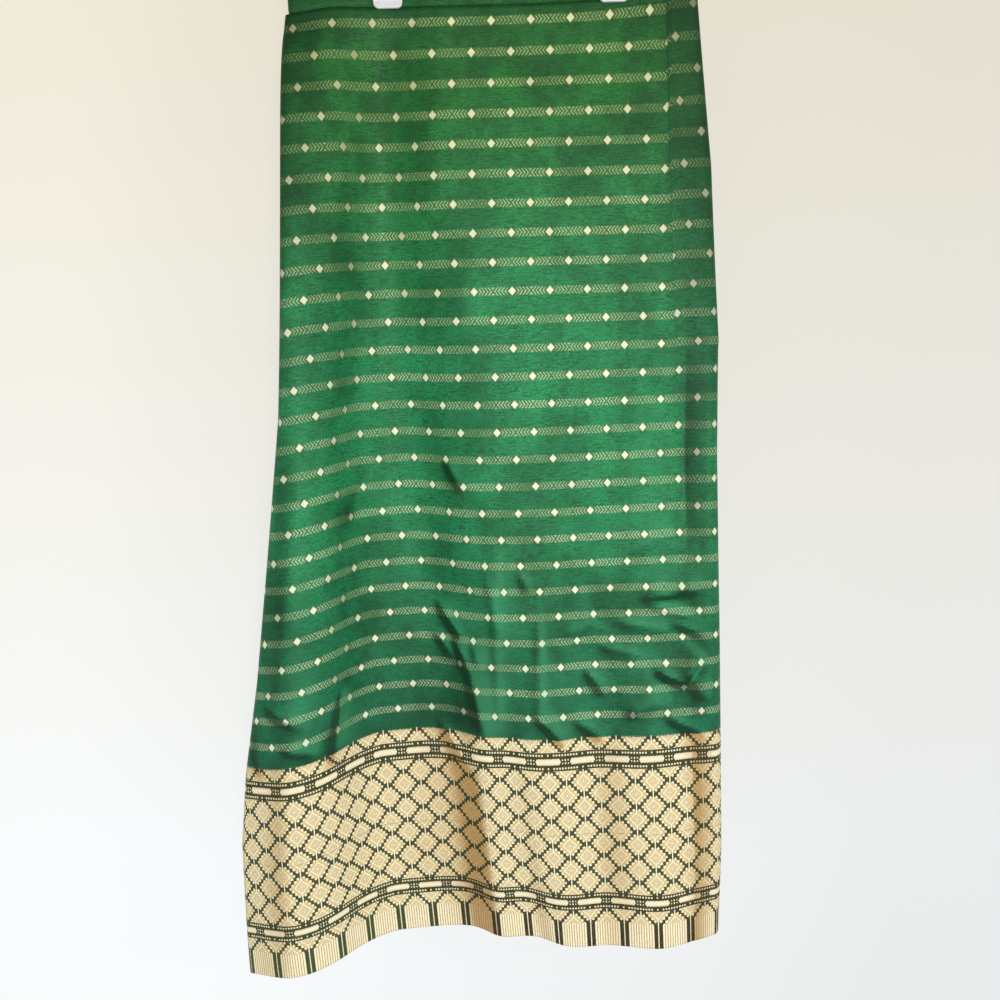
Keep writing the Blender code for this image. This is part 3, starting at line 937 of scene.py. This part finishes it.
def dart_shade(across, down):
    """The dart's sewn line lies in shade, and the cloth right of it hangs turned from the light."""
    left_of = larger(1.0 - down * (PITCH / DART_LENGTH), 0.0)
    from_seam = abs(abs(across - DART_COLUMN) - left_of * (DART_INTAKE / 2.0))
    inside = below(down, DART_LENGTH / PITCH + 0.1, 0.4)
    line = below(from_seam, 0.045, 0.05) * inside * (0.80 - down * 0.075)
    beside = below(from_seam, 0.16, 0.26) * 0.22
    spread_out = (across - (DART_COLUMN + 0.04)) / (down * 0.12 + 0.10)
    beyond = ramp(spread_out, -0.5, 0.5) * below(down, 9.0, 7.0) * 0.36
    return larger(line, larger(beside * inside, beyond))


def floats_in_painted_shade(across, down):
    """Painted shade on the float threads: 1 on the left fold, which turns them from the light, and half as
    much beside it near the waist.
    """
    on, near = (
        below(abs(across - column - down * drift), half, soft)
        for column, drift, half, soft in (SHADED_FOLD, SHADED_BESIDE)
    )
    return larger(on, near * below(down, 8.0, 3.0) * 0.5)


def green_ground(lower, down, threads):
    """The greens, darker at the waist and the hem partly as painted shade, with their slubs, uneven dye,
    dark patches and the painted shadow under the waist seam.
    """
    ground = mixed(lower, GREEN_MIDDLE, GREEN_WAIST_DYE_AND_SHADE)
    lowest = ramp(down, *TO_LOW)
    ground = mixed(lowest, GREEN_LOW_DYE_AND_SHADE, ground)
    ground = mixed(threads("Slub") * SLUB_SHARE, GREEN_SLUB_AND_SHADE, ground)
    uneven = ramp(threads("Dye"), 0.3906, 0.7031)
    ground = mixed(uneven * (lowest * DYE_MORE_LOW + DYE_SHARE), GREEN_SLUB_AND_SHADE, ground)
    patchy = ramp(threads("Patch"), 0.40, 0.65)
    ground = mixed(patchy * (PATCH_SHARE - lower * PATCH_LESS_LOW), GREEN_PATCH, ground)
    # Painted shadow under the waistband
    ground = mixed(below(down, 0.45, 1.1) * SEAM_SHADOW_SHARE, GREEN_SLUB_AND_SHADE, ground)
    return mixed(ramp(threads("Grain"), 0.40, 0.7333) * GRAIN_SHARE, GREEN_SLUB_AND_SHADE, ground)


def body_colour(across, down, motifs=1.0):
    """The green cloth. `motifs` is how clearly the pattern shows: less on the reverse."""
    threads = use_group(weave, Across=across, Down=down)
    rows = use_group(body_rows, Across=across, Down=down)
    # Painted shade: the floats show less where the left fold turns them from the light
    dull = floats_in_painted_shade(across, down)
    lower = ramp(down, *TO_MIDDLE)
    colour = mixed(rows("Band") * (OLIVE_SHARE * motifs), OLIVE, green_ground(lower, down, threads))
    worn = ramp(threads("Grain"), 0.1731, 0.5577) * ramp(threads("Dye"), 0.8409, 0.3864)
    stroke = mixed(lower, STROKE, STROKE_WAIST)
    colour = mixed(rows("Stroke") * (worn * motifs) * (1.0 - dull * STROKE_IN_SHADE), stroke, colour)
    colour = mixed(rows("Rim") * (RIM_SHARE * motifs), RIM, colour)
    float_thread = mixed(threads("Grain") * 0.9, mixed(lower, CREAM, CREAM_WAIST), stroke)
    shown = rows("Diamond") * (DIAMOND_SHARE * motifs) * (1.0 - dull * DIAMOND_IN_SHADE)
    colour = mixed(shown, float_thread, colour)
    # Painted shade along the dart's sewn line and on the cloth right of it
    colour = mixed(dart_shade(across, down), GREEN_SLUB_AND_SHADE, colour)
    # Painted shade where creases and the side edges turn the cloth from the light, and a painted highlight
    # where creases turn it towards the light
    turned = painted_turn_shade()
    colour = mixed(ramp(turned, 0.0, FULL_SHADE_TILT) * PAINTED_SHADE_SHARE, GREEN_PAINTED_SHADE, colour)
    colour = mixed(ramp(turned, 0.0, -FULL_SHADE_TILT) * PAINTED_HIGHLIGHT_SHARE, GREEN_PAINTED_HIGHLIGHT, colour)
    relief = threads("Grain") * 0.6 + threads("Slub") * 0.5 + rows("Diamond") * (0.9 * motifs)
    return colour, relief


green_cloth = cloth_material("green_cloth", body_colour, roughness=0.52, silk=0.10)
green_reverse = cloth_material(
    "green_reverse", lambda a, d: body_colour(a, d, motifs=0.35), roughness=0.60, silk=0.12
)
print("green cloth", len(green_cloth.node_tree.nodes), "nodes")

# %% [markdown]
# The border is of gold and cream thread on tan, with dark green where the chart leaves it open. Nearer
# the hem the darks turn almost black, and stay green at the left. The reverse shows the same chart dulled
# by the floats behind it.

# %% The border's cloth
TAN = linear("#bfa76e")
GOLD = linear("#dbc994")
BORDER_CREAM = linear("#f6eed0")
BROWN = linear("#9a7a48")
DARK_GREEN = linear("#10290c")
DARK_HEM = linear("#050a05")
DARK_LEFT = linear("#15401d")
# Painted shade on the gold where creases turn the border from the light
GOLD_PAINTED_SHADE = linear("#9a6f28")
# Places down the border, in repeats: where the parts of the chart end, and where each lattice starts
TOP_BAND, LOW_BAND, HOUSES = 0.400, 5.400, 5.835
TOP_LATTICE, MIDDLE_LATTICE, HEM_LATTICE = 0.41, 1.345, 5.44
UPPER_BARS, LOWER_BARS, BARS_HALF = 0.685, 5.155, 0.285
LOWER_BARS_TIGHTER = 1.1
INNER_SHARE, CREAM_SHARE, BROWN_SHARE, DARK_SHARE = 0.45, 0.92, 0.6, 0.95
# How strongly the painted shade covers the border, and the turn at which it is full
GOLD_PAINTED_SHADE_SHARE, GOLD_SHADE_TILT = 0.75, 0.2778


def border_colour(across, down, strength=1.0):
    """The gold border. `strength` is how clearly its chart shows: less on the reverse."""
    down = down - BODY_FALL / PITCH
    threads = use_group(weave, Across=across, Down=down + 3.0)
    in_top = below(down, TOP_BAND, 0.01)
    in_hem = over(down, LOW_BAND, 0.01)
    start = switch(in_top, TOP_LATTICE, switch(in_hem, HEM_LATTICE, MIDDLE_LATTICE))
    field = use_group(lattice, Across=across, Down=down - start)
    lower_off = (down - LOWER_BARS) * LOWER_BARS_TIGHTER
    band_off = switch(over(down, 3.0, 0.1), lower_off, down - UPPER_BARS)
    in_bars = below(abs(band_off), BARS_HALF)
    band = use_group(bars, Across=across, Off=band_off)
    in_stripes = over(down, HOUSES, 0.01)
    hem = use_group(stripes, Across=across)

    def pick(label):
        return switch(in_stripes, hem(label), switch(in_bars, band(label), field(label)))

    open_field = (1.0 - in_bars) * (1.0 - in_stripes)
    ground = mixed(ramp(threads("Grain"), 0.2917, 0.7083), GOLD, TAN)
    colour = mixed(field("Inner") * (open_field * INNER_SHARE), BORDER_CREAM, ground)
    colour = mixed(pick("Cream") * (CREAM_SHARE * strength), BORDER_CREAM, colour)
    inside = switch(open_field, field("Inner"), 1.0)
    colour = mixed(pick("Brown") * inside * (BROWN_SHARE * strength), BROWN, colour)
    # Painted shade where creases and the side edges turn the border from the light
    colour = mixed(ramp(painted_turn_shade(), 0.0, GOLD_SHADE_TILT) * GOLD_PAINTED_SHADE_SHARE, GOLD_PAINTED_SHADE, colour)
    dark_low = mixed(ramp(across, -1.75, -4.25), DARK_LEFT, DARK_HEM)
    dark = mixed(ramp(down, 4.6, 6.6), dark_low, DARK_GREEN)
    colour = mixed(pick("Dark") * (DARK_SHARE * strength), dark, colour)
    colour = mixed(threads("Slub") * 0.18, BROWN, colour)
    relief = pick("Cream") * 0.9 + threads("Grain") * 0.6 - pick("Dark") * 0.6
    return colour, relief


border_cloth = cloth_material("border_cloth", border_colour, roughness=0.60, silk=0.0)
border_reverse = cloth_material(
    "border_reverse", lambda a, d: border_colour(a, d, strength=0.6), roughness=0.70, silk=0.0
)
print("border cloth", len(border_cloth.node_tree.nodes), "nodes")

# %% [markdown]
# The body is a front and a back panel, closed at the sides. The front is the one that shows every row of
# diamonds, so it is the finest grid. The back repeats the cloth, shifted so that the rows don't match at
# the side seam, as in a skirt cut from one length.

# %% The body and the border
body_falls = np.linspace(SEAM_GAP, BODY_FALL - SEAM_GAP / 2.0, 200)
border_falls = np.linspace(BODY_FALL + SEAM_GAP / 2.0, HEM_FALL, 70)
body_front = sheet_piece("body_front_cloth", body_falls, -1, 126, 0.0, (green_cloth, green_reverse))
body_back = sheet_piece("body_back_cloth", body_falls[::2], 1, 72, 0.35, (green_cloth, green_reverse))
border_front = sheet_piece(
    "border_front_cloth", border_falls, -1, 126, 0.0, (border_cloth, border_reverse)
)
border_back = sheet_piece(
    "border_back_cloth", border_falls[::3], 1, 72, 0.35, (border_cloth, border_reverse)
)
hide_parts("body_front")
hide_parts("body_back")
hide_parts("border_front")
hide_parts("border_back")
for made in (body_front, body_back, border_front, border_back):
    print(made.name, len(made.data.polygons), "faces")

# %% [markdown]
# The waistband is one strip folded over the top of the cloth and sewn down, so it is thicker than the
# body, with a rounded top and a seam that pulls it in at its foot. Its section is carried round the waist
# as a grid, whose ends and edges are then merged, so the strip is closed both ways.

# %% The waistband
BAND_HEIGHT = 0.035
BAND_HALF = 0.0010
BAND_INSET = 0.0035
BAND_LEVELLING = 0.6
BAND_STEPS = 12
# Where the strip lies on its flat cloth, in pitches: down at its foot, across, and round to the back
BAND_START = 0.22
BAND_SHIFT = 0.4
BACK_TURN = 12.9


def band_profile():
    """Offsets out of the strip's middle and rises over its foot, once round its section."""
    outer = []
    for step in range(BAND_STEPS + 1):
        share = step / BAND_STEPS
        ends = min(1.0, 9.0 * share + 0.35, 9.0 * (1.0 - share) + 0.35)
        outer.append((BAND_HALF * ends, BAND_HEIGHT * share))
    top = [(BAND_HALF * 0.2, BAND_HEIGHT + 0.0003)]
    inner = [(-out, rise) for out, rise in reversed(outer)]
    return outer + top + inner


def waistband_piece():
    front, front_columns = tube_line(0.0, -1, 110, inset=BAND_INSET)[:2]
    back, back_columns = tube_line(0.0, 1, 110, inset=BAND_INSET)[:2]
    loop = np.concatenate([front, back[::-1]])
    columns = np.concatenate([front_columns, BACK_TURN - back_columns[::-1]])
    keep = np.concatenate([[True], np.linalg.norm(np.diff(loop, axis=0), axis=1) > 2e-4])
    loop, columns = loop[keep], columns[keep]
    ahead, behind = np.roll(loop, -1, axis=0), np.roll(loop, 1, axis=0)
    run = (ahead - behind)[:, :2]
    run /= np.linalg.norm(run, axis=1)[:, None]
    out = np.stack([run[:, 1], -run[:, 0]], axis=1)
    profile = band_profile()
    profile.append(profile[0])
    rings = []
    for (x, y, z), (out_x, out_y) in zip(loop, out):
        level = BAND_LEVELLING * (z - WAIST_SEAM_Z) / BAND_HEIGHT
        rings.append([(x + out_x * off, y + out_y * off, z + rise - level * rise) for off, rise in profile])
    rings.append(rings[0])
    around = np.cumsum([0.0] + [math.dist(here, there) for here, there in zip(profile, profile[1:])])
    work = grid_mesh(rings)
    flat = work.loops.layers.uv.new("cloth")
    for face in work.faces:
        for corner in face.loops:
            ring, place = divmod(corner.vert.index, len(profile))
            column = columns[ring % len(columns)]
            corner[flat].uv = (column + BAND_SHIFT, BAND_START - around[place] / PITCH)
    bmesh.ops.remove_doubles(work, verts=work.verts, dist=1e-6)
    bmesh.ops.recalc_face_normals(work, faces=work.faces)
    return finished_piece(work, "waistband_cloth", [green_cloth])


band = waistband_piece()
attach(band, "root")
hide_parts("waistband")
print("waistband", len(band.data.polygons), "faces")

# %% [markdown]
# Each clip has a front and a back jaw of grey-white plastic with rounded corners and a lip along the foot
# that bites the cloth. A jaw is a bevelled block, cut across three times just above the foot, and the
# middle cut is pressed in, which leaves a groove over the lip.

# %% The clip jaws and their place
JAW_WIDTH, JAW_THICK, JAW_HEIGHT = 0.026, 0.0045, 0.0575
JAW_CORNER, JAW_EDGE = 0.0047, 0.0007
JAW_TOP_Z = -0.095
CLOTH_HALF, JAW_CLEAR = 0.0031, 0.0003
JAW_Y = CLOTH_HALF + JAW_CLEAR + JAW_THICK / 2.0
GROOVE_Z, GROOVE_HALF, GROOVE_DEEP = -0.0224, 0.0010, 0.0009


def jaw_piece(name, x, side, finish):
    work = bmesh.new()
    bmesh.ops.create_cube(work, size=1.0)
    bmesh.ops.scale(work, verts=work.verts, vec=(JAW_WIDTH, JAW_THICK, JAW_HEIGHT))
    upright = [e for e in work.edges if abs(e.verts[0].co.y - e.verts[1].co.y) > JAW_THICK / 2.0]
    bmesh.ops.bevel(work, geom=upright, offset=JAW_CORNER, segments=6, profile=0.5, affect="EDGES")
    for height in (GROOVE_Z - GROOVE_HALF, GROOVE_Z, GROOVE_Z + GROOVE_HALF):
        everything = work.verts[:] + work.edges[:] + work.faces[:]
        bmesh.ops.bisect_plane(work, geom=everything, plane_co=(0.0, 0.0, height), plane_no=(0, 0, 1))
    for vert in work.verts:
        if abs(vert.co.z - GROOVE_Z) < 1e-5 and vert.co.y < 0.0:
            vert.co.y += GROOVE_DEEP
    rims = [e for e in work.edges if len(e.link_faces) == 2 and e.calc_face_angle(0.0) > 1.0]
    bmesh.ops.bevel(work, geom=rims, offset=JAW_EDGE, segments=3, profile=0.5, affect="EDGES")
    if side > 0:
        bmesh.ops.rotate(work, verts=work.verts, cent=(0, 0, 0), matrix=Matrix.Rotation(math.pi, 3, "Z"))
    middle = (x, side * JAW_Y, JAW_TOP_Z - JAW_HEIGHT / 2.0)
    bmesh.ops.translate(work, verts=work.verts, vec=middle)
    made = finished_piece(work, name, [finish])
    firm = made.modifiers.new("firm_faces", "WEIGHTED_NORMAL")
    firm.keep_sharp = False
    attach(made, "root")
    return made


print("jaw", [round(1000.0 * size, 1) for size in (JAW_WIDTH, JAW_THICK, JAW_HEIGHT)], "mm")

# %% [markdown]
# Moulded plastic and polished wire are plain, but never quite even: a fine noise dulls the colour and the
# gloss in spots. The rods, the sliders and the boss keep the frame's own meshes and get these finishes.

# %% Plastic and metal
SPOT_SCALE = 260.0
DULLED = 0.82
GLOSS_SPREAD = 0.16


def plain_material(name, colour, roughness, metallic=0.0):
    """Moulded plastic or polished wire: a faint unevenness over a plain colour."""
    made, shader = new_material(name, {"Metallic": metallic})
    place = Field(new_node("TexCoord").outputs["Object"])
    spots = new_node("TexNoise", Scale=SPOT_SCALE, Vector=place)
    uneven = Field(spots.outputs[0])
    dull = tuple(DULLED * part for part in colour[:3]) + (1.0,)
    connect(mixed(uneven, colour, dull), shader.inputs["Base Color"])
    connect(uneven * GLOSS_SPREAD + (roughness - GLOSS_SPREAD / 2.0), shader.inputs["Roughness"])
    return made


clip_plastic = plain_material("clip_plastic", linear("#dcdce0"), roughness=0.38)
hanger_metal = plain_material("hanger_metal", linear("#c9ccd0"), roughness=0.22, metallic=1.0)
for name, x in (("clip_left", -CLIP_X), ("clip_right", CLIP_X)):
    for face, side in (("front", -1.0), ("back", 1.0)):
        made = jaw_piece(name + "_" + face + "_jaw", x, side, clip_plastic)
        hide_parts(name + "_" + face)
for name in ("clip_left_slider", "clip_right_slider", "hanger_boss"):
    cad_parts[name].material_slots[0].material = clip_plastic
for name in ("hanger_bar", "hanger_hook"):
    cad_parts[name].material_slots[0].material = hanger_metal
print("clips and hanger finished")

# %% [markdown]
# The sheets hang from the waistband, and the waistband from the clips.

# %% The cloth pieces
print("five cloth pieces made")

# %% [markdown]
# The skirt hangs close in front of a pale wall. The wall is clear when it is seen from behind, so that the
# back of the skirt can be looked at too.

# %% The wall and the floor
WALL_Y = 0.115
FLOOR_Z = -1.32
ROOM = 7.0
BLACK = (0.0, 0.0, 0.0, 1.0)
# Heights between which the wall's glow turns from cool to warm, and how it darkens to the right
COOL_Z, WARM_Z = -1.0455, -0.1364
DARKER_REACH, DARKER_SHARE = 0.4545, 0.20


def plane_piece(name, corners, finish):
    work = bmesh.new()
    bmesh.ops.create_grid(work, x_segments=1, y_segments=1, size=0.5)
    for vert in work.verts:
        vert.co = corners[(1 if vert.co.x > 0.0 else 0) + (2 if vert.co.y > 0.0 else 0)]
    return finished_piece(work, name, [finish], smooth=False)


def wall_material(name, colour, top_glow, low_glow, glow):
    """Matt paint with a painted glow that stands in for room light: warmer above, cooler near the floor and
    darker to the right.
    """
    made, shader = new_material(name, {
        "Base Color": colour, "Roughness": 0.9, "Specular IOR Level": 0.1, "Emission Strength": glow,
    })
    place = Field(new_node("TexCoord").outputs["Object"])
    split = new_node("SeparateXYZ", Vector=place)
    height = ramp(Field(split.outputs["Z"]), COOL_Z, WARM_Z)
    right = ramp(Field(split.outputs["X"]), -DARKER_REACH, DARKER_REACH)
    glowing = mixed(height, top_glow, low_glow)
    connect(mixed(right * DARKER_SHARE, BLACK, glowing), shader.inputs["Emission Color"])
    sides = new_node("NewGeometry").outputs["Backfacing"]
    clear = new_node("BsdfTransparent").outputs[0]
    either = new_node("MixShader")
    for socket, slot in zip((sides, shader.outputs[0], clear), either.inputs):
        connect(Field(socket), slot)
    connect(Field(either.outputs[0]), made.node_tree.nodes["Material Output"].inputs["Surface"])
    return made


paint = wall_material("wall_paint_and_glow", linear("#807e79"), linear("#ebe4d1"), linear("#f6fbff"), 0.78)
wall = plane_piece("wall", (
    (-ROOM, WALL_Y, FLOOR_Z), (ROOM, WALL_Y, FLOOR_Z), (-ROOM, WALL_Y, ROOM), (ROOM, WALL_Y, ROOM),
), paint)
floor = plane_piece("floor", (
    (-ROOM, -ROOM, FLOOR_Z), (ROOM, -ROOM, FLOOR_Z), (-ROOM, ROOM, FLOOR_Z), (ROOM, ROOM, FLOOR_Z),
), paint)
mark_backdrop(wall, floor)
print("wall", round(WALL_Y - cad_high[1], 3), "m behind the skirt")

# %% [markdown]
# Soft daylight comes from the front and a little comes from the right. It picks out each crease together
# with the painted shade on the cloth. The wall's painted glow keeps the wall nearly even.

# %% The light
LIGHT_AIM = (0.0, 0.0, -0.6)
DAYLIGHT = (1.0, 0.99, 0.97)
WHITE = (1.0, 1.0, 1.0, 1.0)
ROOM_GLOW = 0.30


def area_light(name, place, size, power):
    data = bpy.data.lights.new(name, "AREA")
    data.shape = "DISK"
    data.size = size
    data.energy = power
    data.color = DAYLIGHT
    made = bpy.data.objects.new(name, data)
    facing = (Vector(LIGHT_AIM) - Vector(place)).to_track_quat("-Z", "Y")
    made.matrix_world = Matrix.Translation(place) @ facing.to_matrix().to_4x4()
    scene.collection.objects.link(made)


area_light("window", (0.15, -2.3, -0.45), size=0.8, power=32.0)
area_light("door", (1.35, -1.15, -0.35), size=0.5, power=7.0)
world = bpy.data.worlds.new("room_air")
world.use_nodes = True
world.node_tree.nodes["Background"].inputs["Color"].default_value = WHITE
world.node_tree.nodes["Background"].inputs["Strength"].default_value = ROOM_GLOW
scene.world = world
scene.view_settings.view_transform = "Standard"
